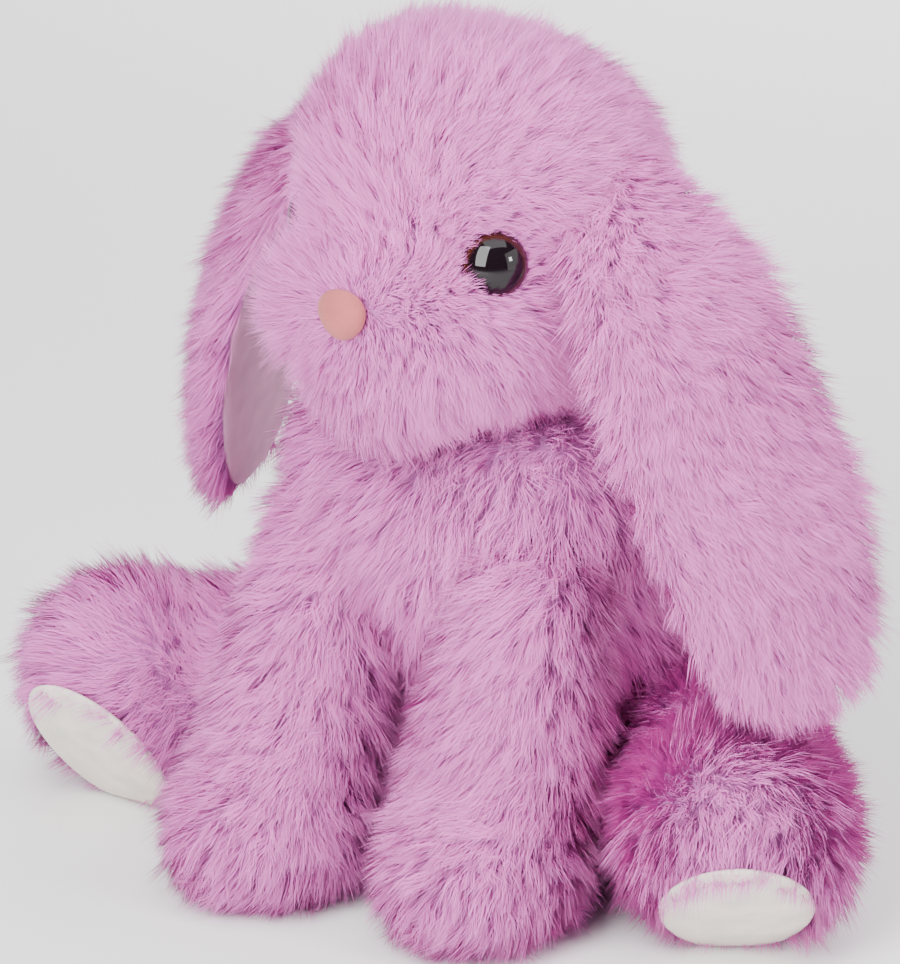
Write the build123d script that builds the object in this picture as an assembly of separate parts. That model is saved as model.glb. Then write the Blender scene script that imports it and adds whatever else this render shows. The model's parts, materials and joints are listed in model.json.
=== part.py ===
from build123d import *
import os
from math import asin, cos, radians, sin

os.makedirs("parts", exist_ok=True)

# A seated, stuffed, lop-eared bunny. Millimetres, +Z up. It faces -Y, and its left side is +X.
# The origin is the middle of the flat seat on the floor.

# ---- cloth and stuffing ----
PLUSH = 3.5  # long-pile plush: its backing and the dense foot of its pile
VELOUR = 2.0  # short-pile velour of the soles
FILL_GAP = 0.4  # between a cover and the stuffing inside it
SEAM_PLAY = 0.7  # between two stuffed parts that move on each other
SIDES = {"left": 1, "right": -1}

# ---- body ----
SEAT_CENTRE = (0, 4, 27)
SEAT_RADIUS = 30
CHEST_CENTRE = (0, -22, 92)
CHEST_RADIUS = 28
SEAT_PANEL_TOP = 12
FRONT_SEAM_Y = -14
TAIL_RADIUS = 12
TAIL_COVER = 2.5
TAIL_HEIGHT = 32
TAIL_SINK = 6  # how far the tail's ball sits into the back

# ---- head ----
HEAD_CENTRE = (0, -30, 159)
HEAD_RADIUS = 37
MUZZLE_CENTRE = (0, -49, 141)
MUZZLE_RADIUS = 26
MUZZLE_SEAM_Y = -60
GUSSET_HALF_WIDTH = 13
GUSSET_BOTTOM = 150
NOSE_CENTRE = (0, -74, 143)
NOSE_HALF_WIDTH = 7.5
NOSE_HALF_HEIGHT = 5
NECK_PIVOT = (0, -25.5, 121)
NECK_RADIUS = 8

# ---- eyes: a clear dome on a stem, held inside by a washer ----
EYE_TOWARDS = (27, -25.5, -4)  # from the head's centre, on the left side
EYE_RADIUS = 7
EYE_DOME = 5.2
IRIS_RADIUS = 6.4
IRIS_THICKNESS = 0.8
STEM_RADIUS = 2.2
STEM_LENGTH = 14
STEM_PLAY = 0.15
WASHER_RADIUS = 8.5
WASHER_THICKNESS = 1.4

# ---- ears ----
EAR_ROOT = (41, -24, 178)  # on the left side
EAR_THICKNESS = 10
EAR_LINING = 4
EAR_BASE_LENGTH = 62
EAR_TIP_LENGTH = 62
EAR_ROOT_WIDTH = 22
EAR_FOLD_WIDTH = 38
EAR_TIP_WIDTH = 42
EAR_FLARE = 28
EAR_BEND = 13  # the tip hangs this much straighter than the base
EAR_FOLD_PLAY = 1.2
EAR_TOE_IN = 30
EAR_SWEEP = {"left": 1, "right": 10}

# ---- front legs ----
SHOULDER = (30, -50, 84)  # on the left side
SHOULDER_RADIUS = 13
PAW_RADIUS = 19
PAW_PLACE = {"left": (22.5, -54), "right": (-29, -67)}

# ---- hind legs ----
HIP = (44, 3, 22)  # on the left side
HIP_RADIUS = 13
FOOT_RADIUS = 24
FOOT_PLACE = {"left": (70, -25), "right": (-95, -40)}
SOLE_HEADING = {"left": -50, "right": -120}
SOLE_TILT = 45  # the sole looks this far below the horizon
SOLE_DISTANCE = 18.5  # from the foot's centre to the sole's outer face

BIG = 400  # larger than the whole toy
SEAM_TURN = Rot(0, 0, 128)  # keeps a round surface's own closing line clear of its neighbours
POLE_TURN = Rot(23, 17, 0)  # and its two closing points clear of them too


def mirrored(point, side):
    """A left-side point, or its mirror image on the right."""
    return (point[0] * SIDES[side], point[1], point[2])


def ball(centre, radius):
    return Pos(*centre) * SEAM_TURN * POLE_TURN * Sphere(radius)


def slab(axis_index, low, high):
    """All of space between two values along one axis."""
    size = [BIG, BIG, BIG]
    centre = [0, 0, 0]
    size[axis_index] = high - low
    centre[axis_index] = (high + low) / 2
    return Pos(*centre) * Box(*size)


def stuffed_limb(start, end, start_radius, end_radius):
    """Two balls joined by the cone that touches both."""
    along = Vector(*end) - Vector(*start)
    length = along.length
    lean = asin((start_radius - end_radius) / length)
    half = radians(45)

    def rim(radius, angle, height):
        return (radius * cos(angle), 0, height + radius * sin(angle))

    outline = [
        ThreePointArc(
            rim(start_radius, -2 * half, 0),
            rim(start_radius, lean / 2 - half, 0),
            rim(start_radius, lean, 0),
        ),
        Line(rim(start_radius, lean, 0), rim(end_radius, lean, length)),
        ThreePointArc(
            rim(end_radius, lean, length),
            rim(end_radius, lean / 2 + half, length),
            (0, 0, length + end_radius),
        ),
        Line((0, 0, length + end_radius), (0, 0, -start_radius)),
    ]
    return Plane(origin=start, z_dir=along) * SEAM_TURN * revolve(make_face(outline), Axis.Z)


def beyond(plane):
    """All of space on the side that the plane faces."""
    return plane * (Pos(0, 0, BIG / 2) * Box(BIG, BIG, BIG))


# ---- the limbs' and ears' shapes, each this far inside its outer face ----
def front_leg_shape(side, inset=0):
    paw = (*PAW_PLACE[side], PAW_RADIUS)
    shoulder = mirrored(SHOULDER, side)
    return stuffed_limb(shoulder, paw, SHOULDER_RADIUS - inset, PAW_RADIUS - inset)


def sole_plane(side, distance):
    """The plane across the foot, this far from its centre, facing out of the sole."""
    heading, tilt = radians(SOLE_HEADING[side]), radians(SOLE_TILT)
    outward = Vector(cos(heading) * cos(tilt), sin(heading) * cos(tilt), -sin(tilt))
    centre = Vector(*FOOT_PLACE[side], FOOT_RADIUS)
    return Plane(origin=centre + outward * distance, z_dir=outward)


def hind_leg_shape(side, inset=0):
    foot = (*FOOT_PLACE[side], FOOT_RADIUS)
    return stuffed_limb(mirrored(HIP, side), foot, HIP_RADIUS - inset, FOOT_RADIUS - inset)


def ear_frame(side):
    """The ear's root, the way its base hangs, the way its width runs and its tip's way."""
    sign = SIDES[side]
    down = Vector(sin(radians(EAR_FLARE)) * sign, 0, -cos(radians(EAR_FLARE)))
    down = down.rotate(Axis.X, EAR_SWEEP[side])
    wide = Vector(sin(radians(EAR_TOE_IN)) * sign, cos(radians(EAR_TOE_IN)), 0)
    wide = (wide - down * wide.dot(down)).normalized()
    tip_down = down.rotate(Axis((0, 0, 0), wide), EAR_BEND * sign)
    return Vector(*mirrored(EAR_ROOT, side)), down, wide, tip_down


def ear_plane(origin, down, wide, side):
    """Local X runs across the ear and local Y down it, and local Z leaves its furry face."""
    outward = wide.cross(down) * SIDES[side]
    return Plane(origin=origin, x_dir=wide * SIDES[side], z_dir=outward)


def ear_layer(outline, plane, low, high):
    return plane * extrude(Pos(0, 0, low) * outline, high - low)


def ear_base_outline(grow=0):
    root, fold = EAR_ROOT_WIDTH / 2 + grow, EAR_FOLD_WIDTH / 2 + grow
    return make_face(
        Polyline((-root, 0), (root, 0), (fold, EAR_BASE_LENGTH), (-fold, EAR_BASE_LENGTH), close=True)
    )


def ear_tip_outline():
    fold, wide = EAR_FOLD_WIDTH / 2, EAR_TIP_WIDTH / 2
    shoulder = EAR_TIP_LENGTH - wide
    return make_face(
        [
            Line((-fold, 0), (fold, 0)),
            Line((fold, 0), (wide, shoulder)),
            ThreePointArc((wide, shoulder), (0, EAR_TIP_LENGTH), (-wide, shoulder)),
            Line((-wide, shoulder), (-fold, 0)),
        ]
    )


def rounded_edge(plane, width, radius):
    """The round end of an ear piece, along the line that it turns about."""
    return plane * (Rot(0, 90, 0) * Cylinder(radius, width))


def ear_slots(side):
    """The planes of the ear's base and tip."""
    root, down, wide, tip_down = ear_frame(side)
    base = ear_plane(root, down, wide, side)
    tip = ear_plane(root + down * EAR_BASE_LENGTH, tip_down, wide, side)
    return base, tip


def ear_base_body(side, grow=0):
    base, _ = ear_slots(side)
    half = EAR_THICKNESS / 2 + grow
    blade = ear_layer(ear_base_outline(grow), base, -half, half)
    return blade + rounded_edge(base, EAR_ROOT_WIDTH + 2 * grow, half)


# ---- body ----
def body_shape(inset=0):
    shape = stuffed_limb(SEAT_CENTRE, CHEST_CENTRE, SEAT_RADIUS - inset, CHEST_RADIUS - inset)
    return (shape & slab(2, inset, BIG)) - ball(NECK_PIVOT, NECK_RADIUS + SEAM_PLAY + inset)


def make_body():
    outer = body_shape()
    cover = outer - body_shape(PLUSH)
    upper = cover & slab(2, SEAT_PANEL_TOP, BIG)
    back = upper & slab(1, FRONT_SEAM_Y, BIG)
    tail_centre = (0, SEAT_CENTRE[1] + SEAT_RADIUS + TAIL_RADIUS - TAIL_SINK, TAIL_HEIGHT)
    tail = ball(tail_centre, TAIL_RADIUS) - ball(tail_centre, TAIL_RADIUS - TAIL_COVER) - outer
    tail_fill = ball(tail_centre, TAIL_RADIUS - TAIL_COVER - FILL_GAP) - body_shape(-FILL_GAP)
    return {
        "body_seat_panel": cover & slab(2, -1, SEAT_PANEL_TOP),
        "body_front_panel": upper & slab(1, -BIG, FRONT_SEAM_Y),
        "body_back_panel_left": back & slab(0, 0, BIG),
        "body_back_panel_right": back & slab(0, -BIG, 0),
        "body_stuffing": body_shape(PLUSH + FILL_GAP),
        "tail_cover": tail,
        "tail_stuffing": tail_fill,
        "neck_stuffing": ball(NECK_PIVOT, NECK_RADIUS),
    }


# ---- head ----
def head_shape(inset=0):
    shape = ball(HEAD_CENTRE, HEAD_RADIUS - inset) + ball(MUZZLE_CENTRE, MUZZLE_RADIUS - inset)
    return shape - ball(NECK_PIVOT, NECK_RADIUS + SEAM_PLAY + inset)


def eye_plane(side, distance):
    """The plane across the eye's stem, this far from the head's centre."""
    outward = Vector(*mirrored(EYE_TOWARDS, side)).normalized()
    return Plane(origin=Vector(*HEAD_CENTRE) + outward * distance, z_dir=outward)


def disc(plane, radius, thickness):
    """A disc that stands on the plane."""
    return plane * (Pos(0, 0, thickness / 2) * Cylinder(radius, thickness))


def make_eye(side, seat):
    """The dome, the stem and the washer; seat is the distance of the eye's flat back."""
    rim = seat + IRIS_THICKNESS
    dome_radius = (EYE_RADIUS**2 + EYE_DOME**2) / (2 * EYE_DOME)
    dome = ball((0, 0, EYE_DOME - dome_radius), dome_radius) & slab(2, 0, BIG)
    stem_end = seat - STEM_LENGTH
    stem = disc(eye_plane(side, stem_end), STEM_RADIUS, STEM_LENGTH)
    cloth_at_rim = ((HEAD_RADIUS - PLUSH) ** 2 - WASHER_RADIUS**2) ** 0.5
    washer_back = cloth_at_rim - WASHER_THICKNESS - STEM_PLAY
    washer = disc(eye_plane(side, washer_back), WASHER_RADIUS, WASHER_THICKNESS)
    return {
        f"eye_lens_{side}": eye_plane(side, rim) * dome,
        f"eye_stem_{side}": stem + disc(eye_plane(side, seat), IRIS_RADIUS, IRIS_THICKNESS),
        f"eye_washer_{side}": washer - disc(eye_plane(side, stem_end), STEM_RADIUS, BIG),
    }


def make_head():
    outer = head_shape()
    cover = outer - head_shape(PLUSH)
    fill = head_shape(PLUSH + FILL_GAP)
    eye_seat = HEAD_RADIUS - IRIS_THICKNESS - EYE_RADIUS**2 / (2 * HEAD_RADIUS)
    parts = {}
    for side in SIDES:
        cover -= ear_base_body(side, SEAM_PLAY)
        parts.update(make_eye(side, eye_seat))
        cover -= disc(eye_plane(side, eye_seat), EYE_RADIUS + STEM_PLAY, BIG)
        cover -= disc(eye_plane(side, 0), STEM_RADIUS + STEM_PLAY, BIG)
        hollow = eye_seat - STEM_LENGTH - FILL_GAP
        fill -= disc(eye_plane(side, hollow), WASHER_RADIUS + FILL_GAP, BIG)
    behind = cover & slab(1, MUZZLE_SEAM_Y, BIG)
    gusset = slab(0, -GUSSET_HALF_WIDTH, GUSSET_HALF_WIDTH) & slab(2, GUSSET_BOTTOM, BIG)
    sides = behind - gusset
    reach = NOSE_HALF_WIDTH - NOSE_HALF_HEIGHT
    nose_ends = [(x, NOSE_CENTRE[1], NOSE_CENTRE[2]) for x in (-reach, reach)]
    nose = stuffed_limb(*nose_ends, NOSE_HALF_HEIGHT, NOSE_HALF_HEIGHT)
    parts.update(
        head_muzzle_panel=cover & slab(1, -BIG, MUZZLE_SEAM_Y),
        head_gusset=behind & gusset,
        head_side_left=sides & slab(0, 0, BIG),
        head_side_right=sides & slab(0, -BIG, 0),
        head_stuffing=fill,
        nose=nose - ball(MUZZLE_CENTRE, MUZZLE_RADIUS),
    )
    return parts


# ---- ears ----
def make_ear(side):
    base, tip = ear_slots(side)
    half = EAR_THICKNESS / 2
    seam = EAR_LINING - half
    groove = rounded_edge(tip, 2 * EAR_TIP_WIDTH, half + EAR_FOLD_PLAY)
    whole_base = ear_base_body(side) - groove
    whole_tip = ear_layer(ear_tip_outline(), tip, -half, half)
    whole_tip += rounded_edge(tip, EAR_FOLD_WIDTH, half)
    parts = {}
    for name, whole, plane in (("base", whole_base, base), ("tip", whole_tip, tip)):
        fur_side = beyond(plane.offset(seam))
        parts[f"ear_{name}_fur_{side}"] = whole & fur_side
        parts[f"ear_{name}_lining_{side}"] = whole - fur_side
    return parts


# ---- legs ----
def make_front_leg(side):
    cover = front_leg_shape(side) - front_leg_shape(side, PLUSH)
    seam = SHOULDER[0] * SIDES[side] + (PAW_PLACE[side][0] - SHOULDER[0] * SIDES[side]) / 2
    outward = slab(0, seam, BIG) if side == "left" else slab(0, -BIG, seam)
    return {
        f"front_leg_outer_{side}": cover & outward,
        f"front_leg_inner_{side}": cover - outward,
        f"front_leg_stuffing_{side}": front_leg_shape(side, PLUSH + FILL_GAP),
    }


def make_hind_leg(side):
    foot = ball((*FOOT_PLACE[side], FOOT_RADIUS), FOOT_RADIUS)
    sole_inside = SOLE_DISTANCE - VELOUR
    opening = beyond(sole_plane(side, sole_inside))
    fill = hind_leg_shape(side, PLUSH + FILL_GAP)
    return {
        f"hind_leg_cover_{side}": hind_leg_shape(side) - opening - hind_leg_shape(side, PLUSH),
        f"foot_sole_{side}": (foot & opening) - beyond(sole_plane(side, SOLE_DISTANCE)),
        f"hind_leg_stuffing_{side}": fill - beyond(sole_plane(side, sole_inside - FILL_GAP)),
    }


def build():
    parts = {**make_body(), **make_head()}
    for side in SIDES:
        parts.update(make_ear(side))
        parts.update(make_front_leg(side))
        parts.update(make_hind_leg(side))
    return parts


for name, solid in build().items():
    export_step(Compound(children=solid.solids()), f"parts/{name}.step")
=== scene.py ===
"""A seated, lop-eared plush bunny: padded covers, long pile, velour trim and domed eyes."""

import json
from math import cos, pi, radians, sin

import bmesh
import bpy
import numpy as np
from mathutils import Matrix, Vector
from mathutils.kdtree import KDTree


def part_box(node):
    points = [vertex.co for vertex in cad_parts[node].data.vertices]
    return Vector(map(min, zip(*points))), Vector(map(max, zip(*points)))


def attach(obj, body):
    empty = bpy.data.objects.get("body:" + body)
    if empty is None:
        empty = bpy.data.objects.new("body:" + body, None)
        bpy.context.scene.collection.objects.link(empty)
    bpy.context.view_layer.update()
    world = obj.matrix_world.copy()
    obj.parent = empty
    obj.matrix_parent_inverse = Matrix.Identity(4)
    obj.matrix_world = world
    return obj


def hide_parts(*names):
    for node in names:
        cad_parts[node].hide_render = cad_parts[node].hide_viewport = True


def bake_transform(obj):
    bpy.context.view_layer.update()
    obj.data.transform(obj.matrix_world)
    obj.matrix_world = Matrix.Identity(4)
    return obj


bl_info = {
    "name": "Plush Bunny",
    "version": (1, 0, 0),
    "blender": (4, 5, 0),
    "location": "View3D > Sidebar > Bunny",
    "description": "Builds a seated plush bunny with long pile round its frame",
    "category": "Add Mesh",
}

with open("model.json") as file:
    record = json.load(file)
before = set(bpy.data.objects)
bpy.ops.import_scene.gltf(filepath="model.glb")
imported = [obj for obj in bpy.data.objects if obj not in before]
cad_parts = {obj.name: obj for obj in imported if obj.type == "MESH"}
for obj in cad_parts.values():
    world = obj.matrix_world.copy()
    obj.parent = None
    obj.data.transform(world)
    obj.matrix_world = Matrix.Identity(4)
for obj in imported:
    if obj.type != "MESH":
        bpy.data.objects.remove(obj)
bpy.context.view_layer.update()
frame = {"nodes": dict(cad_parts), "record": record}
MM = 0.001
SIDES = {"left": 1, "right": -1}
JOINTS = {joint["name"]: joint for joint in frame["record"]["behaviour"]["joints"]}


def pivot(joint):
    """A joint's place, in millimetres."""
    return np.array(JOINTS[joint]["pos_m"]) / MM


def middle(node):
    """The middle of a node's box, in millimetres."""
    low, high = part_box(node)
    return (np.array(low) + np.array(high)) / 2 / MM


def unit(vectors):
    vectors = np.asarray(vectors, float)
    return vectors / np.maximum(np.linalg.norm(vectors, axis=-1, keepdims=True), 1e-9)


# ---- settings that a user would change ----
class BunnyPile(bpy.types.PropertyGroup):
    """The long pile and the cloth under it."""

    length: bpy.props.FloatProperty(
        name="Pile length", description="Length of a full tuft", default=0.0115, unit="LENGTH"
    )
    width: bpy.props.FloatProperty(
        name="Tuft width", description="Width of one tuft at its root", default=0.00021, unit="LENGTH"
    )
    # Dark root colour: partly the pile's own tone, partly painted shade deep between the tufts
    root: bpy.props.FloatVectorProperty(
        name="Root colour", description="Pile colour at the backing", subtype="COLOR",
        default=(0.52, 0.15, 0.44),
    )
    body: bpy.props.FloatVectorProperty(
        name="Pile colour", description="Pile colour half way up", subtype="COLOR",
        default=(0.76, 0.155, 0.56),
    )
    tip: bpy.props.FloatVectorProperty(
        name="Tip colour", description="Pile colour at the tips", subtype="COLOR",
        default=(0.88, 0.27, 0.68),
    )


class BunnyTrim(bpy.types.PropertyGroup):
    """Velour trim and the eyes."""

    sole: bpy.props.FloatVectorProperty(
        name="Sole colour", description="Velour of the soles", subtype="COLOR", default=(0.80, 0.74, 0.66)
    )
    nose: bpy.props.FloatVectorProperty(
        name="Nose colour", description="Velour of the nose", subtype="COLOR", default=(0.44, 0.10, 0.10)
    )
    lining: bpy.props.FloatVectorProperty(
        name="Lining colour", description="Velour of the ear lining", subtype="COLOR",
        default=(0.56, 0.28, 0.43),
    )
    iris: bpy.props.FloatVectorProperty(
        name="Iris colour", description="Rim of the eye", subtype="COLOR", default=(0.045, 0.012, 0.004)
    )


# ---- material groups ----
def node_group(name, inputs, outputs):
    """A shader group with its sockets, and its input and output nodes."""
    group = bpy.data.node_groups.new(name, "ShaderNodeTree")
    for label, kind, default in inputs:
        socket = group.interface.new_socket(label, in_out="INPUT", socket_type=kind)
        socket.default_value = default
    for label, kind in outputs:
        group.interface.new_socket(label, in_out="OUTPUT", socket_type=kind)
    return group, group.nodes.new("NodeGroupInput"), group.nodes.new("NodeGroupOutput")


def velour_nap_group():
    """Short nap: a fine grain for the bump and a slow change of shade."""
    group, into, out = node_group(
        "VelourNap",
        [("Colour", "NodeSocketColor", (0.7, 0.7, 0.7, 1)), ("Grain", "NodeSocketFloat", 3000.0)],
        [("Colour", "NodeSocketColor"), ("Height", "NodeSocketFloat")],
    )
    nodes, links = group.nodes, group.links
    place = nodes.new("ShaderNodeTexCoord")
    grain = nodes.new("ShaderNodeTexNoise")
    grain.inputs["Detail"].default_value = 3.0
    links.new(place.outputs["Object"], grain.inputs["Vector"])
    links.new(into.outputs["Grain"], grain.inputs["Scale"])
    stroke = nodes.new("ShaderNodeTexNoise")
    stroke.inputs["Scale"].default_value = 130.0
    links.new(place.outputs["Object"], stroke.inputs["Vector"])
    shade = nodes.new("ShaderNodeMapRange")
    shade.inputs["From Min"].default_value = 0.3
    shade.inputs["From Max"].default_value = 0.7
    shade.inputs["To Min"].default_value = 0.86
    shade.inputs["To Max"].default_value = 1.06
    links.new(stroke.outputs["Fac"], shade.inputs["Value"])
    tint = nodes.new("ShaderNodeVectorMath")
    tint.operation = "SCALE"
    links.new(into.outputs["Colour"], tint.inputs[0])
    links.new(shade.outputs["Result"], tint.inputs["Scale"])
    links.new(tint.outputs["Vector"], out.inputs["Colour"])
    links.new(grain.outputs["Fac"], out.inputs["Height"])
    return group


def new_material(name, roughness):
    material = bpy.data.materials.new(name)
    material.use_nodes = True
    shader = material.node_tree.nodes["Principled BSDF"]
    shader.inputs["Roughness"].default_value = roughness
    return material, material.node_tree.nodes, material.node_tree.links, shader


def velour_material(name, colour, grain, depth):
    """Short-pile cloth with a soft sheen."""
    material, nodes, links, shader = new_material(name, 0.9)
    shader.inputs["Sheen Weight"].default_value = 0.12
    shader.inputs["Sheen Roughness"].default_value = 0.6
    nap = nodes.new("ShaderNodeGroup")
    nap.node_tree = bpy.data.node_groups["VelourNap"]
    nap.inputs["Colour"].default_value = (*colour, 1)
    nap.inputs["Grain"].default_value = grain
    bump = nodes.new("ShaderNodeBump")
    bump.inputs["Strength"].default_value = 0.6
    bump.inputs["Distance"].default_value = depth
    links.new(nap.outputs["Colour"], shader.inputs["Base Color"])
    links.new(nap.outputs["Height"], bump.inputs["Height"])
    links.new(bump.outputs["Normal"], shader.inputs["Normal"])
    return material


def pile_material(settings):
    """Pile colour runs from a dark root, partly painted shade deep between the tufts, to the tip, and
    each tuft has its own shade.
    """
    material, nodes, links, shader = new_material("long_pile", 0.75)
    shader.inputs["Sheen Weight"].default_value = 0.05
    shader.inputs["Sheen Roughness"].default_value = 0.5
    shader.inputs["Specular IOR Level"].default_value = 0.2
    place = nodes.new("ShaderNodeUVMap")
    place.uv_map = "OFBake"
    apart = nodes.new("ShaderNodeSeparateXYZ")
    links.new(place.outputs["UV"], apart.inputs["Vector"])
    # Darker towards the roots: partly painted shade between the tufts
    ramp = nodes.new("ShaderNodeValToRGB")
    ramp.color_ramp.elements[0].color = (*settings.root, 1)
    ramp.color_ramp.elements[1].color = (*settings.tip, 1)
    half_way = ramp.color_ramp.elements.new(0.45)
    half_way.color = (*settings.body, 1)
    links.new(apart.outputs["X"], ramp.inputs["Fac"])
    shade = nodes.new("ShaderNodeMapRange")
    shade.inputs["To Min"].default_value = 0.86
    shade.inputs["To Max"].default_value = 1.08
    links.new(apart.outputs["Y"], shade.inputs["Value"])
    tint = nodes.new("ShaderNodeVectorMath")
    tint.operation = "SCALE"
    links.new(ramp.outputs["Color"], tint.inputs[0])
    links.new(shade.outputs["Result"], tint.inputs["Scale"])
    links.new(tint.outputs["Vector"], shader.inputs["Base Color"])
    return material


def eye_material(settings):
    """A dark, glassy dome with a brown rim; the radius on the dome is in its UV map."""
    material, nodes, links, shader = new_material("eye_glass", 0.03)
    shader.inputs["Specular IOR Level"].default_value = 0.36
    place = nodes.new("ShaderNodeUVMap")
    place.uv_map = "OFBake"
    apart = nodes.new("ShaderNodeSeparateXYZ")
    links.new(place.outputs["UV"], apart.inputs["Vector"])
    ramp = nodes.new("ShaderNodeValToRGB")
    ramp.color_ramp.elements[0].position = 0.78
    ramp.color_ramp.elements[0].color = (0.006, 0.003, 0.005, 1)
    ramp.color_ramp.elements[1].position = 0.88
    ramp.color_ramp.elements[1].color = (*settings.iris, 1)
    edge = ramp.color_ramp.elements.new(0.98)
    edge.color = (*[0.2 * value for value in settings.iris], 1)
    links.new(apart.outputs["X"], ramp.inputs["Fac"])
    links.new(ramp.outputs["Color"], shader.inputs["Base Color"])
    return material


def make_materials(scene):
    velour_nap_group()
    pile, trim = scene.bunny_pile, scene.bunny_trim
    pile_material(pile)
    # The backing takes the dark root colour, as painted shade in the gaps between the tufts
    velour_material("backing_cloth_painted_shade", pile.root, 2600.0, 0.0004)
    velour_material("sole_cloth", trim.sole, 3200.0, 0.00025)
    velour_material("nose_cloth", trim.nose, 3600.0, 0.0003)
    velour_material("lining_cloth", trim.lining, 3200.0, 0.0003)
    velour_material("pale_plastic", (0.8, 0.8, 0.78), 400.0, 0.00002)
    eye_material(trim)


# ---- covers: rounded lumps fused, smoothed and swollen a little, as a stuffed cover is ----
COVER_VOXEL = 0.0032
FLOOR_GAP = 0.0012  # the backing stays this far above the floor, on its pile
SWELL_PRESSURE = 4.0
SWELL_FRAMES = 12
SWELL_CAP = 0.0008  # no point of a cover moves further than this


def new_object(name, mesh, material):
    """A linked object with one material."""
    piece = bpy.data.objects.new(name, mesh)
    bpy.context.scene.collection.objects.link(piece)
    mesh.materials.append(bpy.data.materials[material])
    return piece


def add_lump(bm, centre, radii):
    """An egg-shaped lump; radii is one number or three, in millimetres."""
    size = Vector((radii,) * 3 if np.isscalar(radii) else radii) * MM
    place = Matrix.Translation(Vector(centre) * MM) @ Matrix.Diagonal((*size, 1))
    bmesh.ops.create_uvsphere(bm, u_segments=32, v_segments=20, radius=1, matrix=place)


def add_limb(bm, start, end, start_radius, end_radius, steps):
    """A row of lumps that grow from one radius to the other."""
    for step in range(steps + 1):
        share = step / steps
        centre = np.array(start) * (1 - share) + np.array(end) * share
        add_lump(bm, centre, start_radius * (1 - share) + end_radius * share)


def apply_modifier(piece, modifier):
    """Bakes the modifier into the mesh."""
    bpy.context.view_layer.objects.active = piece
    with bpy.context.temp_override(object=piece, active_object=piece, selected_objects=[piece]):
        bpy.ops.object.modifier_apply(modifier=modifier.name)


def swell(piece):
    """Blows the cover up a little with cloth pressure, and holds each point within SWELL_CAP."""
    before = np.array([v.co for v in piece.data.vertices])
    cloth = piece.modifiers.new("Cloth", "CLOTH")
    cloth.settings.use_pressure = True
    cloth.settings.uniform_pressure_force = SWELL_PRESSURE
    cloth.settings.effector_weights.gravity = 0.0
    cloth.settings.quality = 4
    scene = bpy.context.scene
    for step in range(1, SWELL_FRAMES + 1):
        scene.frame_set(step)
    apply_modifier(piece, cloth)
    scene.frame_set(1)
    after = np.array([v.co for v in piece.data.vertices])
    move = after - before
    far = np.linalg.norm(move, axis=1, keepdims=True)
    after = before + move * np.minimum(1, SWELL_CAP / np.maximum(far, 1e-9))
    piece.data.vertices.foreach_set("co", after.astype(np.float32).ravel())
    piece.data.update()


def make_cover(name, shape, smooth=12):
    """A stuffed cover from a function that adds its lumps."""
    bm = bmesh.new()
    shape(bm)
    mesh = bpy.data.meshes.new(name)
    bm.to_mesh(mesh)
    bm.free()
    # The cover's colour is painted shade, seen through gaps in the pile
    piece = new_object(name, mesh, "backing_cloth_painted_shade")
    remesh = piece.modifiers.new("Remesh", "REMESH")
    remesh.mode = "VOXEL"
    remesh.voxel_size = COVER_VOXEL
    apply_modifier(piece, remesh)
    relax = piece.modifiers.new("Smooth", "SMOOTH")
    relax.iterations = smooth
    apply_modifier(piece, relax)
    swell(piece)
    points = np.array([v.co for v in piece.data.vertices])
    points[:, 2] = np.maximum(points[:, 2], FLOOR_GAP)
    piece.data.vertices.foreach_set("co", points.astype(np.float32).ravel())
    subdivide = piece.modifiers.new("Subdivision", "SUBSURF")
    subdivide.levels = subdivide.render_levels = 1
    apply_modifier(piece, subdivide)
    piece.data.polygons.foreach_set("use_smooth", [True] * len(piece.data.polygons))
    return piece


# ---- pile ----
HEAD_TUFTS = 57000  # on each of its three parts
CHEST_TUFTS = 55000
BACK_TUFTS = 46000
TAIL_TUFTS = 11000
FRONT_LEG_TUFTS = 51000
HIND_LEG_TUFTS = 55000
EAR_TUFTS = 57000
SEGMENTS = 2
LIFT_ROOT = 0.0006  # a tuft starts this far under the cloth
LEAN = (radians(18), radians(60))  # from the cloth's normal, at the root and at the tip
CLUMP_PULL = 0.30
CLUMP_SHARE = 0.045  # one tuft in about twenty leads a clump
TAPER = (1.0, 0.8)  # a tuft's width at the start of each segment; its tip is a point
WAVE_LENGTH = 9  # millimetres for each radian of the slow waves


def scatter(skin, count, keep, rng):
    """Points and normals spread evenly over the cover, where keep(points, normals) lets them be."""
    mesh = skin.data
    mesh.calc_loop_triangles()
    corners = np.empty(len(mesh.loop_triangles) * 3, np.int64)
    mesh.loop_triangles.foreach_get("vertices", corners)
    corners = corners.reshape(-1, 3)
    places = np.empty(len(mesh.vertices) * 3)
    mesh.vertices.foreach_get("co", places)
    places = places.reshape(-1, 3)
    normals = np.empty(len(mesh.vertices) * 3)
    mesh.vertex_normals.foreach_get("vector", normals)
    normals = normals.reshape(-1, 3)
    a, b, c = (places[corners[:, i]] for i in range(3))
    area = np.linalg.norm(np.cross(b - a, c - a), axis=1)
    got_places, got_normals, have = [], [], 0
    while have < count:
        pick = rng.choice(len(corners), size=count, p=area / area.sum())
        u, v = rng.random((2, count))
        over = u + v > 1
        u[over], v[over] = 1 - u[over], 1 - v[over]
        weights = np.stack([1 - u - v, u, v], axis=1)[:, :, None]
        place = (places[corners[pick]] * weights).sum(axis=1)
        normal = unit((normals[corners[pick]] * weights).sum(axis=1))
        good = keep(place, normal) > rng.random(count)
        got_places.append(place[good])
        got_normals.append(normal[good])
        have += int(good.sum())
    return np.concatenate(got_places)[:count], np.concatenate(got_normals)[:count]


def turn_about(vectors, axes, angles):
    """Each vector turned about its own axis."""
    c, s = np.cos(angles)[:, None], np.sin(angles)[:, None]
    share = (vectors * axes).sum(axis=1, keepdims=True)
    return vectors * c + np.cross(axes, vectors) * s + axes * share * (1 - c)


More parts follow.
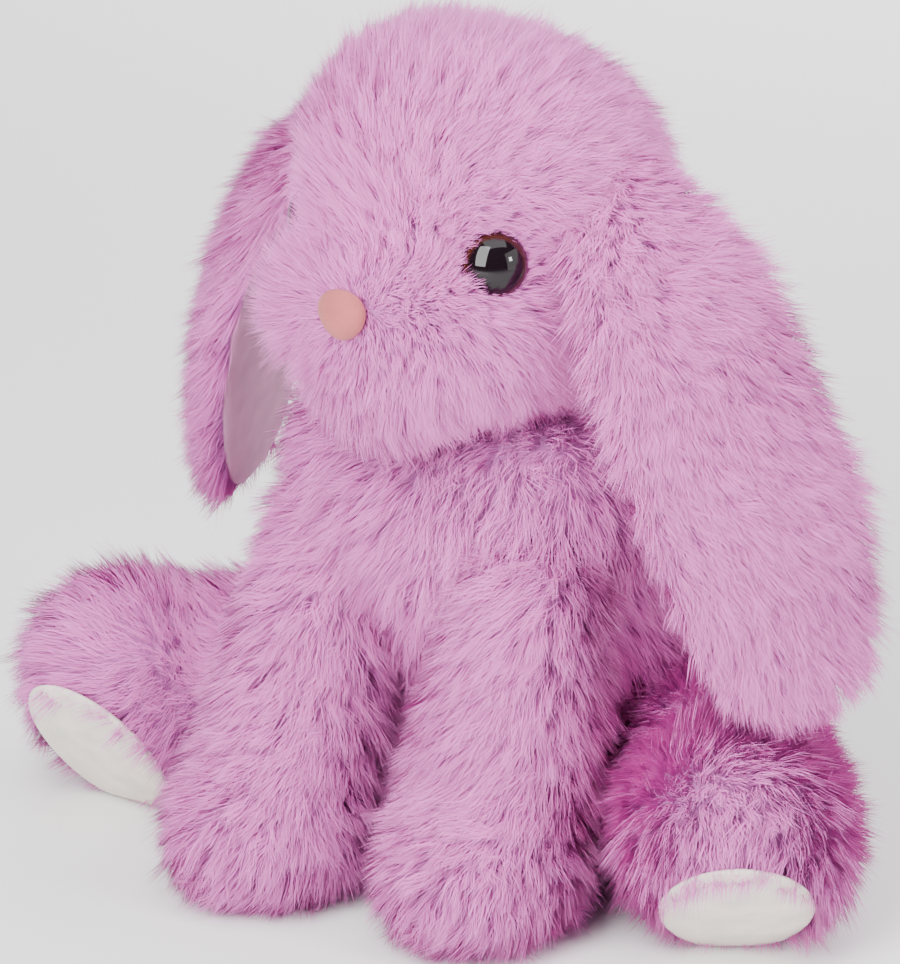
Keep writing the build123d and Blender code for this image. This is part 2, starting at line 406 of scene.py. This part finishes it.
def wave(place, kind):
    """A slow, smooth change over the toy, from about -1 to 1."""
    x, y, z = (place / MM / WAVE_LENGTH).T
    return (np.sin(x + 1.3 * kind + 0.7 * np.sin(z)) + np.sin(0.9 * y - 2.1 * kind + np.sin(x)) +
            np.sin(1.1 * z + kind + 0.8 * np.sin(y))) / 2.2


def strand_points(place, normal, comb, length):
    """The points of each tuft from root to tip, shape (points, tufts, 3)."""
    points = [place - normal * LIFT_ROOT]
    for step in range(SEGMENTS):
        lean = LEAN[0] + (LEAN[1] - LEAN[0]) * (step + 0.5) / SEGMENTS
        heading = normal * np.cos(lean) + comb * np.sin(lean)
        points.append(points[-1] + heading * (length / SEGMENTS)[:, None])
    return np.stack(points)


def make_pile(name, skin, count, comb_of, length_of, keep_of, seed):
    """Long pile on a cover, as curved blades that gather in clumps."""
    settings = bpy.context.scene.bunny_pile
    rng = np.random.default_rng(seed)
    place, normal = scatter(skin, count, keep_of, rng)
    comb = comb_of(place, normal)
    comb = unit(comb - normal * (comb * normal).sum(axis=1, keepdims=True))

    heads = rng.choice(count, size=max(int(count * CLUMP_SHARE), 12), replace=False)
    tree = KDTree(len(heads))
    for index, head in enumerate(heads):
        tree.insert(place[head], index)
    tree.balance()
    owner = np.array([tree.find(point)[1] for point in place])
    clump_turn = rng.normal(0, 0.36, len(heads))
    clump_long = rng.normal(1, 0.10, len(heads))
    clump_lean = rng.normal(1, 0.16, len(heads))
    comb = turn_about(comb, normal, wave(place, 1) * 0.5 + clump_turn[owner] + rng.normal(0, 0.3, count))
    length = length_of(place) * settings.length * clump_long[owner] * rng.uniform(0.7, 1.15, count)
    length *= 1 + 0.10 * wave(place, 2)
    comb = comb * clump_lean[owner][:, None] + normal * (1 - clump_lean[owner][:, None]) * 0.6

    points = strand_points(place, normal, unit(comb), length)
    lead = points[:, heads][:, owner]
    pull = CLUMP_PULL * (np.arange(SEGMENTS + 1) / SEGMENTS) ** 1.5
    pull = pull[:, None, None] * rng.uniform(0.4, 1.3, count)[None, :, None]
    points = points + (lead - points) * pull
    points[..., 2] = np.maximum(points[..., 2], FLOOR_GAP / 3 + rng.random(count) * FLOOR_GAP)

    direction = unit(points[-1] - points[0])
    across = unit(np.cross(direction, normal))
    across = turn_about(across, direction, rng.uniform(-1.1, 1.1, count))
    half = settings.width / 2 * rng.uniform(0.7, 1.25, count)[:, None]
    rings = []
    for point, taper in zip(points, TAPER):
        rings += [point - across * half * taper, point + across * half * taper]
    rings.append(points[-1])
    vertices = np.stack(rings, axis=1).reshape(-1, 3)

    one = np.array([0, 1, 3, 2, 2, 3, 4])
    per = 2 * SEGMENTS + 1
    loops = (np.arange(count)[:, None] * per + one[None, :]).ravel()
    sizes = np.tile([4, 3], count)
    starts = np.concatenate([[0], np.cumsum(sizes)[:-1]])
    mesh = bpy.data.meshes.new(name)
    mesh.vertices.add(len(vertices))
    mesh.vertices.foreach_set("co", vertices.astype(np.float32).ravel())
    mesh.loops.add(len(loops))
    mesh.loops.foreach_set("vertex_index", loops.astype(np.int32))
    mesh.polygons.add(len(sizes))
    mesh.polygons.foreach_set("loop_start", starts.astype(np.int32))
    mesh.update(calc_edges=True)

    shade = np.clip(rng.normal(0.5, 0.2, count) + rng.normal(0, 0.13, len(heads))[owner], 0.02, 0.98)
    rise = np.array([0, 0, 0.5, 0.5, 0.98])  # the share of the tuft's height
    side = np.array([-1, 1, -1, 1, 0]) * 0.008
    u = np.tile(rise[one], count)
    v = np.repeat(shade, len(one)) + np.tile(side[one], count)
    layer = mesh.uv_layers.new(name="OFBake")
    layer.data.foreach_set("uv", np.stack([u, v], axis=1).astype(np.float32).ravel())

    facing = unit(np.cross(across, direction))
    facing *= np.sign((facing * normal).sum(axis=1, keepdims=True) + 1e-9)
    soft = unit(normal + facing * 0.25 + direction * 0.2)
    mesh.polygons.foreach_set("use_smooth", [True] * len(sizes))
    mesh.normals_split_custom_set_from_vertices(np.repeat(soft, per, axis=0).tolist())
    piece = new_object(name, mesh, "long_pile")
    return piece


def everywhere(place, normal):
    """Keeps every tuft."""
    return np.ones(len(place))


def same_length(value):
    """Pile of one length, as a share of the full one."""
    return lambda place: np.full(len(place), value)


def along(direction):
    """A comb that runs one way."""
    return lambda place, normal: np.tile(np.array(direction, float), (len(place), 1))


# ---- places, worked out from the frame's joints and nodes ----
NECK = pivot("neck_turn")
HEAD = NECK + (0, -4.5, 36.5)
NOSE = middle("nose")
EYES = {side: middle(f"eye_lens_{side}") for side in SIDES}


def on_side(point, side):
    """The point as given on the left, and mirrored on the right."""
    return np.array(point, float) * (SIDES[side], 1, 1)


# ---- head ----
NOSE_CROWN = 3.4  # how far the padded nose stands out
HEAD_RADIUS = 34.5
FACE_DEPTH = 14  # the face's own pile starts this far in front of the head's middle


def head_lumps(bm):
    """Skull, muzzle, jaws, cheeks and temples."""
    add_lump(bm, HEAD, HEAD_RADIUS)
    add_lump(bm, HEAD + (0, -24, -25), (21, 17, 19))
    add_lump(bm, HEAD + (0, -26, -17), (17, 17, 15))
    for side in SIDES:
        add_lump(bm, HEAD + on_side((14, -21, -18), side), 17)
        add_lump(bm, HEAD + on_side((17, -12, -19), side), 18.5)
        add_lump(bm, HEAD + on_side((11, 2, 6), side), 27)


def head_comb(place, normal):
    """Away from the nose, over the forehead, and down the cheeks and the back of the head."""
    away = unit(place - NOSE * MM)
    low = np.clip((HEAD[2] * MM - place[:, 2]) / 0.03, 0, 1)[:, None]
    behind = np.clip((place[:, 1] - HEAD[1] * MM) / 0.025, 0, 1)[:, None]
    return away + low * (0, 0.1, -0.35) + behind * (0, 0.2, -1.6)


def head_length(place):
    """Short round the nose and the eyes, and long away from them."""
    from_nose = np.linalg.norm(place - NOSE * MM, axis=1) / MM
    length = np.clip(0.30 + (from_nose - 6) / 30, 0.30, 0.95)
    for eye in EYES.values():
        from_eye = np.linalg.norm(place - eye * MM, axis=1) / MM
        length = np.minimum(length, np.clip(0.38 + (from_eye - 6) / 16, 0.3, 1))
    return length


def head_keep(place, normal):
    """No pile under the nose or the eyes."""
    kept = np.linalg.norm((place - NOSE * MM) / MM / (1.35, 1, 1), axis=1) > 5.2
    for eye in EYES.values():
        kept &= np.linalg.norm(place - eye * MM, axis=1) > 6.2 * MM
    return kept.astype(float)


def split_keep(keep, test):
    """The same pile, only where the test holds."""
    return lambda place, normal: keep(place, normal) * test(place)


class BUNNY_OT_head(bpy.types.Operator):
    """Head cover, its pile and the padded nose"""

    bl_idname = "bunny.head"
    bl_label = "Head"

    def execute(self, context):
        skin = make_cover("head_cover", head_lumps)
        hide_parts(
            "head_gusset", "head_side_left", "head_side_right", "head_muzzle_panel", "head_stuffing"
        )
        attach(skin, "head")
        front = (HEAD[1] - FACE_DEPTH) * MM
        parts = {
            "left": lambda place: (place[:, 1] > front) & (place[:, 0] >= 0),
            "right": lambda place: (place[:, 1] > front) & (place[:, 0] < 0),
            "face": lambda place: place[:, 1] <= front,
        }
        for seed, (part, test) in enumerate(parts.items(), 11):
            keep = split_keep(head_keep, test)
            name = f"head_pile_{part}"
            pile = make_pile(name, skin, HEAD_TUFTS, head_comb, head_length, keep, seed)
            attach(pile, "head")
        make_nose()
        neck = make_cover("neck_cover", lambda bm: add_lump(bm, NECK + (0, 0, -2), 17))
        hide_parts("neck_stuffing")
        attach(neck, "neck")
        return {"FINISHED"}


def make_nose():
    """A small padded oval of velour, wider than it is high."""
    low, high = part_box("nose")
    half = (np.array(high) - np.array(low)) / 2 / MM
    bm = bmesh.new()
    bmesh.ops.create_uvsphere(bm, u_segments=40, v_segments=24, radius=1)
    for vertex in bm.verts:
        x, y, z = vertex.co
        narrow = 1 - 0.30 * (1 - z) / 2
        vertex.co = Vector((x * half[0] * 0.95 * narrow, y * NOSE_CROWN, z * half[2] * 1.12)) * MM
        vertex.co += Vector(NOSE + (0, 2.4, 0)) * MM
    mesh = bpy.data.meshes.new("nose_cover")
    bm.to_mesh(mesh)
    bm.free()
    nose = new_object("nose_cover", mesh, "nose_cloth")
    mesh.polygons.foreach_set("use_smooth", [True] * len(mesh.polygons))
    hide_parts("nose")
    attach(nose, "head")


# ---- eyes ----
EYE_RADIUS = 7.3
EYE_RISE = 5.0
EYE_TURN_UP = 8.0  # how far the dome looks up, against the head's own slope


def make_eye(side):
    """A glassy dome let into the face, turned a little up."""
    outward = Vector(EYES[side] - HEAD + (0, 0, EYE_TURN_UP)).normalized()
    base = Vector(EYES[side]) - outward * 1.2
    turn = outward.to_track_quat("Z", "Y").to_matrix().to_4x4()
    place = Matrix.Translation(base * MM) @ turn @ Matrix.Scale(MM, 4)
    bm = bmesh.new()
    bmesh.ops.create_uvsphere(bm, u_segments=64, v_segments=48, radius=EYE_RADIUS)
    layer = bm.loops.layers.uv.new("OFBake")
    for face in bm.faces:
        for loop in face.loops:
            x, y, z = loop.vert.co
            loop[layer].uv = (min((x * x + y * y) ** 0.5 / EYE_RADIUS, 1), 0.5 + 0.4 * y / EYE_RADIUS)
    for vertex in bm.verts:
        x, y, z = vertex.co
        vertex.co = (x, y, z * EYE_RISE / EYE_RADIUS if z > 0 else z * 0.2)
    bmesh.ops.transform(bm, matrix=place, verts=bm.verts)
    mesh = bpy.data.meshes.new(f"eye_dome_{side}")
    bm.to_mesh(mesh)
    bm.free()
    mesh.polygons.foreach_set("use_smooth", [True] * len(mesh.polygons))
    dome = new_object(f"eye_dome_{side}", mesh, "eye_glass")
    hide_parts(f"eye_lens_{side}")
    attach(dome, "head")


class BUNNY_OT_eyes(bpy.types.Operator):
    """Both domed eyes"""

    bl_idname = "bunny.eyes"
    bl_label = "Eyes"

    def execute(self, context):
        for side in SIDES:
            make_eye(side)
        return {"FINISHED"}


# ---- body ----
SIDE_SEAM_Y = -10  # the front and the back each have their own pile


def body_lumps(bm):
    """Chest, shoulders, belly and seat."""
    chest = NECK + (0, -2.5, -31)
    add_lump(bm, chest, (37, 30, 30))
    add_lump(bm, chest + (0, 2, 12), (33, 25, 20))
    for side in SIDES:
        add_lump(bm, chest + on_side((19, -2, 6), side), 23)
    add_limb(bm, chest + (0, 6, -8), (0, 2, 38), 32, 34, 5)
    add_lump(bm, (0, 2, 30), (37, 34, 30))


def body_comb(place, normal):
    """Down, and a little outwards."""
    out = place * (1, 1, 0)
    return unit(out) * 0.25 + np.array((0, 0, -1.0))


class BUNNY_OT_body(bpy.types.Operator):
    """Body cover with its pile, and the tail"""

    bl_idname = "bunny.body"
    bl_label = "Body"

    def execute(self, context):
        skin = make_cover("body_cover", body_lumps)
        panels = [f"body_back_panel_{side}" for side in SIDES]
        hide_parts("body_seat_panel", "body_front_panel", "body_stuffing", *panels)
        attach(skin, "torso")
        seam = SIDE_SEAM_Y * MM
        halves = {
            "front": (lambda place: place[:, 1] <= seam, CHEST_TUFTS),
            "back": (lambda place: place[:, 1] > seam, BACK_TUFTS),
        }
        for seed, (part, (test, count)) in enumerate(halves.items(), 21):
            keep = split_keep(above_floor, test)
            name = f"body_pile_{part}"
            pile = make_pile(name, skin, count, body_comb, same_length(0.95), keep, seed)
            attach(pile, "torso")
        tail = middle("tail_cover")
        skin = make_cover("tail_ball", lambda bm: add_lump(bm, tail, 10.5), smooth=4)
        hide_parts("tail_cover", "tail_stuffing")
        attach(skin, "torso")
        comb, length = along((0, 0.6, -1)), same_length(0.85)
        pile = make_pile("tail_pile", skin, TAIL_TUFTS, comb, length, everywhere, 25)
        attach(pile, "torso")
        return {"FINISHED"}


def above_floor(place, normal):
    """No pile where the toy is pressed on the floor."""
    return 1 - ((place[:, 2] < 2.5 * MM) & (normal[:, 2] < -0.8)) * 1.0


# ---- front legs ----
FRONT_PAWS = {"left": np.array((22.6, -52, 0)), "right": np.array((-28, -62.5, 0))}


def front_leg_lumps(side):
    shoulder = pivot(f"front_leg_swing_{side}")
    paw = FRONT_PAWS[side]

    def lumps(bm):
        top = shoulder + (-3 * SIDES[side], 8, -6)
        add_limb(bm, top, paw + (0, 3, 24), 14, 18, 7)
        add_lump(bm, paw + (0, 0, 19), (19.5, 19, 17.5))
        add_lump(bm, paw + on_side((1, -7, 16), side), (17.5, 16, 14.5))

    return lumps


def front_leg_comb(side):
    """Down the leg, and outwards all round the paw."""
    paw = FRONT_PAWS[side]

    def comb(place, normal):
        low = np.clip(1 - (place[:, 2] / MM - 4) / 30, 0, 1)[:, None]
        out = unit((place - (paw + (0, 14, 10)) * MM) * (1, 1, 0))
        return np.array((0, -0.45, -1.0)) * (1 - 0.55 * low) + out * (0.18 + 0.7 * low)

    return comb


class BUNNY_OT_front_legs(bpy.types.Operator):
    """Both front legs with their pile"""

    bl_idname = "bunny.front_legs"
    bl_label = "Front legs"

    def execute(self, context):
        for seed, side in enumerate(SIDES, 31):
            skin = make_cover(f"front_leg_cover_{side}", front_leg_lumps(side))
            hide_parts(*[f"front_leg_{part}_{side}" for part in ("outer", "inner", "stuffing")])
            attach(skin, f"front_leg_{side}")
            comb = front_leg_comb(side)
            name = f"front_leg_pile_{side}"
            pile = make_pile(name, skin, FRONT_LEG_TUFTS, comb, same_length(0.95), above_floor, seed)
            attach(pile, f"front_leg_{side}")
        return {"FINISHED"}


# ---- hind legs ----
FOOT_PLACES = {"left": np.array((70, -25, 27)), "right": np.array((-88, -42, 26))}
SOLE_HEADING = {"left": -50, "right": -86}
SOLE_TILT = {"left": 46, "right": 36}
SOLE_DISTANCE = 19.5  # from the foot's middle
SOLE_UP = 2  # the sole sits this far towards the toes
SOLE_HALF = (16.0, 22.0)  # across and up
SOLE_LAP = 1.06  # the velour runs on under the edge of the pile
SOLE_CROWN = 2.6
SOLE_SINK = 0.6


def sole_axes(side):
    """Out of the sole, across it, and up it towards the toes."""
    heading, tilt = radians(SOLE_HEADING[side]), radians(SOLE_TILT[side])
    outward = np.array((cos(heading) * cos(tilt), sin(heading) * cos(tilt), -sin(tilt)))
    across = np.array((-sin(heading), cos(heading), 0))
    return outward, across, np.cross(outward, across)


def sole_share(place, side):
    """How far out from the sole's middle a point is, 1 at its edge, and its height over the sole."""
    outward, across, up = sole_axes(side)
    centre = FOOT_PLACES[side] + outward * SOLE_DISTANCE + up * SOLE_UP
    offset = place / MM - centre
    x, y = offset @ across / SOLE_HALF[0], offset @ up / SOLE_HALF[1]
    return np.hypot(x, y), offset @ outward


def hind_leg_lumps(side):
    hip = pivot(f"hind_leg_spread_{side}")
    foot = FOOT_PLACES[side]
    outward, across, up = sole_axes(side)

    def lumps(bm):
        add_limb(bm, hip * (0.75, 1, 1) + (0, 4, 6), foot + (0, 3, 0), 23, 20, 6)
        add_lump(bm, foot, (24, 22.5, 22))
        add_lump(bm, foot + up * 9 + outward * 1, 19)

    return lumps


def flatten_sole(piece, side):
    """Presses the foot's cover flat behind its sole."""
    outward, across, up = sole_axes(side)
    points = np.array([v.co for v in piece.data.vertices])
    height = (points / MM - FOOT_PLACES[side]) @ outward - SOLE_DISTANCE
    points -= np.maximum(height, 0)[:, None] * outward * MM
    piece.data.vertices.foreach_set("co", points.astype(np.float32).ravel())
    piece.data.update()


def hind_leg_comb(side):
    """From the hip to the toes, and down the sides."""
    hip = pivot(f"hind_leg_spread_{side}")
    foot = FOOT_PLACES[side]
    outward, across, up = sole_axes(side)
    reach = unit((foot - hip) * (1, 1, 0))

    def comb(place, normal):
        from_back = unit(place - (foot - reach * 22 + (0, 0, 6)) * MM)
        steep = 1 - np.clip(normal[:, 2] * 1.3, 0, 1)[:, None]
        return from_back * 0.35 + reach * 0.8 + steep * (0, 0, -0.6)

    return comb


def hind_leg_keep(side):
    """No pile on the sole or where the leg is pressed on the floor."""
    def keep(place, normal):
        share, height = sole_share(place, side)
        return above_floor(place, normal) * ((share > 1.0) | (height < -4))

    return keep


def make_sole(side):
    """A crowned oval of velour let into the foot."""
    outward, across, up = sole_axes(side)
    turn = Matrix([[*across, 0], [*up, 0], [*outward, 0], [0, 0, 0, 1]]).transposed()
    centre = Vector(FOOT_PLACES[side] + outward * (SOLE_DISTANCE - SOLE_SINK) + up * SOLE_UP)
    bm = bmesh.new()
    bmesh.ops.create_uvsphere(bm, u_segments=64, v_segments=32, radius=1)
    for vertex in bm.verts:
        x, y, z = vertex.co
        vertex.co = (x * SOLE_HALF[0] * SOLE_LAP, y * SOLE_HALF[1] * SOLE_LAP, z * SOLE_CROWN)
    place = Matrix.Translation(centre * MM) @ turn @ Matrix.Scale(MM, 4)
    bmesh.ops.transform(bm, matrix=place, verts=bm.verts)
    for vertex in bm.verts:
        vertex.co.z = max(vertex.co.z, FLOOR_GAP / 2)
    mesh = bpy.data.meshes.new(f"sole_{side}")
    bm.to_mesh(mesh)
    bm.free()
    mesh.polygons.foreach_set("use_smooth", [True] * len(mesh.polygons))
    sole = new_object(f"sole_{side}", mesh, "sole_cloth")
    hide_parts(f"foot_sole_{side}")
    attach(sole, f"hind_leg_{side}")


class BUNNY_OT_hind_legs(bpy.types.Operator):
    """Both hind legs with their pile and velour soles"""

    bl_idname = "bunny.hind_legs"
    bl_label = "Hind legs"

    def execute(self, context):
        for seed, side in enumerate(SIDES, 41):
            skin = make_cover(f"hind_leg_padding_{side}", hind_leg_lumps(side))
            flatten_sole(skin, side)
            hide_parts(f"hind_leg_cover_{side}", f"hind_leg_stuffing_{side}")
            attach(skin, f"hind_leg_{side}")
            name = f"hind_leg_pile_{side}"
            comb, keep = hind_leg_comb(side), hind_leg_keep(side)
            pile = make_pile(name, skin, HIND_LEG_TUFTS, comb, same_length(0.95), keep, seed)
            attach(pile, f"hind_leg_{side}")
            make_sole(side)
        return {"FINISHED"}


# ---- ears ----
EAR_ROOTS = {"left": np.array((27, -27, 176)), "right": np.array((-27, -25, 175))}
EAR_TIPS = {"left": np.array((86, -22, 63)), "right": np.array((-88, -4, 69))}
EAR_BOW = 14.0  # how far the ear's middle stands out from the straight line
EAR_HALF_WIDTH = 21.0
EAR_HALF_THICKNESS = 4.5
EAR_TOE_IN = {"left": 30, "right": 22}
EAR_BLUNTNESS = 3.3  # 2 is a round tip, and more is squarer
EAR_CURL = 2.5  # how far the ear's edges turn in


def ear_axes(side):
    """Down the ear, across it, and out of its furry face."""
    down = unit(EAR_TIPS[side] - EAR_ROOTS[side])
    turn = radians(EAR_TOE_IN[side])
    across = np.array((sin(turn) * SIDES[side], cos(turn), 0))
    across = unit(across - down * (across @ down))
    outward = np.cross(across, down)
    if outward[0] * SIDES[side] < 0:
        outward = -outward
    return down, across, outward


def ear_point(side, share, x, y):
    """A point of the ear: share runs from root to tip, x across and y through it, both from -1 to 1."""
    down, across, outward = ear_axes(side)
    length = np.linalg.norm(EAR_TIPS[side] - EAR_ROOTS[side])
    bulge = np.sin(pi * share**0.8)
    half_width = EAR_HALF_WIDTH * (0.56 + 0.44 * np.sin(pi * np.clip(share * 0.78 - 0.02, 0, 1)))
    spine = EAR_ROOTS[side] + down * length * share + outward * EAR_BOW * bulge
    curl = -EAR_CURL * x * x
    return spine + across * half_width * x + outward * (EAR_HALF_THICKNESS * y + curl)


def make_ear_cover(side):
    """The stuffed blade of the ear; its inner face is lined with velour."""
    bm = bmesh.new()
    bmesh.ops.create_uvsphere(bm, u_segments=56, v_segments=44, radius=1)
    for vertex in bm.verts:
        x, y, z = vertex.co
        round_end = (1 - abs(z) ** EAR_BLUNTNESS) ** (1 / EAR_BLUNTNESS)
        ring = max((x * x + y * y) ** 0.5, 1e-6)
        point = ear_point(side, (1 - z) / 2, x / ring * round_end, y / ring * round_end)
        vertex.co = Vector(point) * MM
    bm.normal_update()
    bmesh.ops.recalc_face_normals(bm, faces=bm.faces)
    mesh = bpy.data.meshes.new(f"ear_cover_{side}")
    bm.to_mesh(mesh)
    bm.free()
    # Outer face: dark backing as painted shade under the pile
    piece = new_object(f"ear_cover_{side}", mesh, "backing_cloth_painted_shade")
    mesh.materials.append(bpy.data.materials["lining_cloth"])
    outward = Vector(ear_axes(side)[2])
    for face in mesh.polygons:
        face.use_smooth = True
        face.material_index = int(face.normal.dot(outward) < -0.2)
    return piece


def ear_comb(side):
    """Down the ear, and out to its edges."""
    down, across, outward = ear_axes(side)
    root = EAR_ROOTS[side]

    def comb(place, normal):
        x = ((place / MM - root) @ across / EAR_HALF_WIDTH)[:, None]
        return down + across * x * 0.55 + outward * 0.3

    return comb


def ear_keep(side):
    """Pile on the outer face and the edges, and none on the lining."""
    outward = ear_axes(side)[2]
    return lambda place, normal: (normal @ outward > -0.25).astype(float)


def ear_length(side):
    """Short at the root, and long from a third of the way down."""
    down = ear_axes(side)[0]
    length = np.linalg.norm(EAR_TIPS[side] - EAR_ROOTS[side])

    def long(place):
        share = (place / MM - EAR_ROOTS[side]) @ down / length
        return np.clip(0.55 + 1.6 * share, 0.6, 1.0)

    return long


class BUNNY_OT_ears(bpy.types.Operator):
    """Both lop ears, with pile outside and velour inside"""

    bl_idname = "bunny.ears"
    bl_label = "Ears"

    def execute(self, context):
        for seed, side in enumerate(SIDES, 51):
            skin = make_ear_cover(side)
            layers = [f"{part}_{layer}" for part in ("base", "tip") for layer in ("fur", "lining")]
            nodes = [f"ear_{layer}_{side}" for layer in layers]
            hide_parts(*nodes)
            name = f"ear_pile_{side}"
            comb, length, keep = ear_comb(side), ear_length(side), ear_keep(side)
            pile = make_pile(name, skin, EAR_TUFTS, comb, length, keep, seed)
            for piece in (skin, pile):
                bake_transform(piece)
        return {"FINISHED"}


# ---- the frame's own stems and washers ----
class BUNNY_OT_inside(bpy.types.Operator):
    """Plastic of the stems and the washers behind the eyes"""

    bl_idname = "bunny.inside"
    bl_label = "Stems and washers"

    def execute(self, context):
        for side in SIDES:
            for part in ("eye_stem", "eye_washer"):
                node = frame["nodes"][f"{part}_{side}"]
                node.data.materials.clear()
                node.data.materials.append(bpy.data.materials["pale_plastic"])
        return {"FINISHED"}


# ---- stage ----
VIEW_AZIMUTH = 40
VIEW_ELEVATION = 20
VIEW_DISTANCE = 1.8
VIEW_TARGET = (-0.0362, 0.0051, 0.0746)
VIEW_HEIGHT = 0.218  # height of the picture at the target


def view_axes():
    """Towards the viewer, right and up."""
    a, e = radians(VIEW_AZIMUTH), radians(VIEW_ELEVATION)
    back = Vector((sin(a) * cos(e), -cos(a) * cos(e), sin(e)))
    right = Vector((cos(a), sin(a), 0))
    return back, right, back.cross(right)


def add_light(name, offset, size, power):
    """A soft light, placed right, up and towards the viewer from the target."""
    back, right, up = view_axes()
    light = bpy.data.lights.new(name, "AREA")
    light.shape = "RECTANGLE"
    light.size, light.size_y = size
    light.energy = power
    lamp = bpy.data.objects.new(name, light)
    target = Vector(VIEW_TARGET)
    lamp.location = target + right * offset[0] + up * offset[1] + back * offset[2]
    lamp.rotation_euler = (lamp.location - target).to_track_quat("Z", "Y").to_euler()
    bpy.context.scene.collection.objects.link(lamp)


def make_world(scene):
    """Soft light from overhead that fades towards the floor."""
    world = bpy.data.worlds.new("studio")
    world.use_nodes = True
    nodes, links = world.node_tree.nodes, world.node_tree.links
    place = nodes.new("ShaderNodeTexCoord")
    apart = nodes.new("ShaderNodeSeparateXYZ")
    fade = nodes.new("ShaderNodeMapRange")
    fade.inputs["From Min"].default_value = 0.05
    fade.inputs["From Max"].default_value = 0.75
    fade.inputs["To Min"].default_value = 0.45
    fade.inputs["To Max"].default_value = 1.9
    links.new(place.outputs["Generated"], apart.inputs["Vector"])
    links.new(apart.outputs["Z"], fade.inputs["Value"])
    links.new(fade.outputs["Result"], nodes["Background"].inputs["Strength"])
    scene.world = world


class BUNNY_OT_stage(bpy.types.Operator):
    """Floor, lights and camera"""

    bl_idname = "bunny.stage"
    bl_label = "Stage"

    def execute(self, context):
        scene = context.scene
        bm = bmesh.new()
        bmesh.ops.create_grid(bm, x_segments=2, y_segments=2, size=6)
        mesh = bpy.data.meshes.new("floor")
        bm.to_mesh(mesh)
        bm.free()
        material, nodes, links, shader = new_material("floor_paper", 0.95)
        shader.inputs["Base Color"].default_value = (0.93, 0.93, 0.93, 1)
        shader.inputs["Specular IOR Level"].default_value = 0.0
        floor = new_object("floor", mesh, "floor_paper")
        make_world(scene)
        add_light("key", (-0.32, 0.20, 0.80), (0.45, 0.8), 17.0)
        add_light("top", (0.1, 0.9, 0.6), (1.0, 1.0), 12.0)
        add_light("fill", (0.95, -0.05, 0.40), (1.2, 1.2), 12.0)
        add_light("rim", (0.3, 0.7, -0.9), (1.0, 0.8), 22.0)
        add_light("spark", (0.60, 0.08, 0.62), (0.12, 0.12), 2.0)
        back, right, up = view_axes()
        camera = bpy.data.cameras.new("camera")
        camera.sensor_width = 36
        camera.lens = 36 * VIEW_DISTANCE / VIEW_HEIGHT
        camera.clip_start = 0.05
        view = bpy.data.objects.new("camera", camera)
        view.location = Vector(VIEW_TARGET) + back * VIEW_DISTANCE
        view.rotation_euler = back.to_track_quat("Z", "Y").to_euler()
        scene.collection.objects.link(view)
        scene.camera = view
        return {"FINISHED"}


class BUNNY_PT_panel(bpy.types.Panel):
    """Bunny pieces and settings"""

    bl_idname = "BUNNY_PT_panel"
    bl_label = "Plush Bunny"
    bl_space_type = "VIEW_3D"
    bl_region_type = "UI"
    bl_category = "Bunny"

    def draw(self, context):
        layout = self.layout
        for name in ("length", "width", "root", "body", "tip"):
            layout.prop(context.scene.bunny_pile, name)
        for name in ("sole", "nose", "lining", "iris"):
            layout.prop(context.scene.bunny_trim, name)
        for operator in OPERATORS:
            layout.operator(operator.bl_idname)


OPERATORS = (
    BUNNY_OT_stage,
    BUNNY_OT_head,
    BUNNY_OT_eyes,
    BUNNY_OT_body,
    BUNNY_OT_front_legs,
    BUNNY_OT_hind_legs,
    BUNNY_OT_ears,
    BUNNY_OT_inside,
)
CLASSES = (BunnyPile, BunnyTrim, *OPERATORS, BUNNY_PT_panel)


def register():
    for item in CLASSES:
        bpy.utils.register_class(item)
    bpy.types.Scene.bunny_pile = bpy.props.PointerProperty(type=BunnyPile)
    bpy.types.Scene.bunny_trim = bpy.props.PointerProperty(type=BunnyTrim)


def unregister():
    del bpy.types.Scene.bunny_trim
    del bpy.types.Scene.bunny_pile
    for item in reversed(CLASSES):
        bpy.utils.unregister_class(item)


def main():
    register()
    make_materials(bpy.context.scene)
    bpy.ops.bunny.stage()
    bpy.ops.bunny.head()
    bpy.ops.bunny.eyes()
    bpy.ops.bunny.body()
    bpy.ops.bunny.front_legs()
    bpy.ops.bunny.hind_legs()
    bpy.ops.bunny.ears()
    bpy.ops.bunny.inside()


if __name__ == "__main__":
    main()
